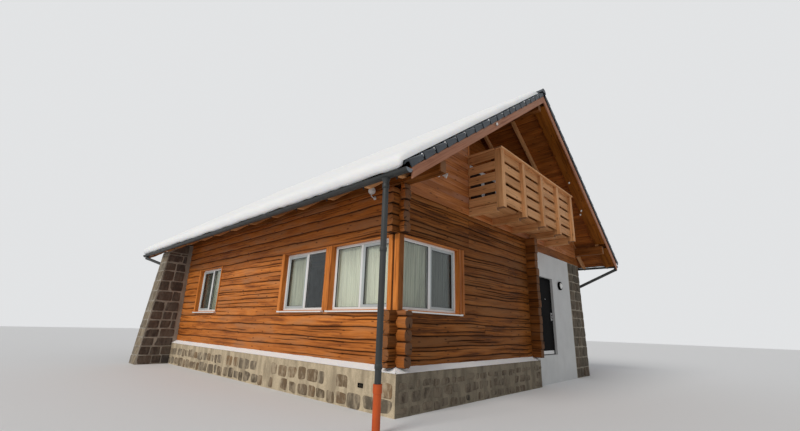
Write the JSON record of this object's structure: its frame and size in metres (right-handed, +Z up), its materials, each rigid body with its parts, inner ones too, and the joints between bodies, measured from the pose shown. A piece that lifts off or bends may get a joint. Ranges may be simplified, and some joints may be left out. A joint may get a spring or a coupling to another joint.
{
  "type": "alpine chalet",
  "caption": "Log chalet on a stone plinth with a steep snow-covered saddle roof, a slatted gable balcony, a stone wing and pier, and a hinged entrance door.",
  "frame": {"origin": "on the ground, under the middle of the roof's plan", "axes": "+Z up, -Y towards the balcony gable, +X to the right seen from the gable"},
  "size_m": [10.97, 12.66, 7.7055],
  "materials": {
    "log_wood": "oiled, hewn, with long drying checks",
    "trim_wood": "varnished planed boards",
    "board_wood": "varnished boards and beams, weathered",
    "rubble_stone": "rubble stone in pale mortar",
    "coursed_stone": "coursed dark stone in grey mortar",
    "render": "fine white render",
    "roof_tile": "matt dark grey",
    "snow": "settled snow",
    "gutter_metal": "satin dark grey",
    "drain_plastic": "orange drain pipe, scuffed",
    "white_pvc": "satin white",
    "window_glass": "clear double glazing",
    "door_steel": "satin anthracite",
    "handle_steel": "brushed"
  },
  "bodies": {
    "house": {"log_wall_left": "log_wood", "log_wall_front": "log_wood", "log_wall_right": "log_wood", "entrance_log_ends": "log_wood", "wall_plates": "log_wood", "window_posts": "trim_wood", "window_linings": "trim_wood", "bargeboards": "trim_wood", "balcony_posts": "trim_wood", "balcony_panels": "trim_wood", "balcony_rail": "trim_wood", "ground_floor": "board_wood", "upper_floor": "board_wood", "ridge_beam": "board_wood", "front_gable_left": "board_wood", "front_gable_right": "board_wood", "recess_walls": "board_wood", "rear_gable": "board_wood", "rafters_left": "board_wood", "rafters_right": "board_wood", "roof_deck_left": "board_wood", "roof_deck_right": "board_wood", "balcony_joists": "board_wood", "joist_blocking": "board_wood", "balcony_floor": "board_wood", "entrance_beam": "board_wood", "plinth_left": "rubble_stone", "plinth_front": "rubble_stone", "plinth_right": "rubble_stone", "front_right_pier": "coursed_stone", "rear_wall": "coursed_stone", "entrance_walls": "render", "entrance_wall_head": "render", "roof_tiles_left": "roof_tile", "roof_tiles_right": "roof_tile", "ridge_tiles": "roof_tile", "roof_snow_left": "snow", "roof_snow_right": "snow", "gutter_left": "gutter_metal", "gutter_right": "gutter_metal", "downpipe": "gutter_metal", "rear_downpipe": "gutter_metal", "right_downpipe": "gutter_metal", "downpipe_foot": "drain_plastic", "window_sills": "white_pvc", "window_frames": "white_pvc", "balcony_door": "white_pvc", "window_glass": "window_glass", "door_frame": "door_steel", "porch_lamp": "door_steel"},
    "entrance_door": {"door_leaf": "door_steel", "door_handle": "handle_steel"}
  },
  "joints": [
    {"name": "entrance_door_hinge", "type": "hinge", "parent": "house", "child": "entrance_door", "pos_m": [1.233, -5.239, 1.7], "axis": [0, 0, -1], "range_deg": [0, 100]}
  ]
}
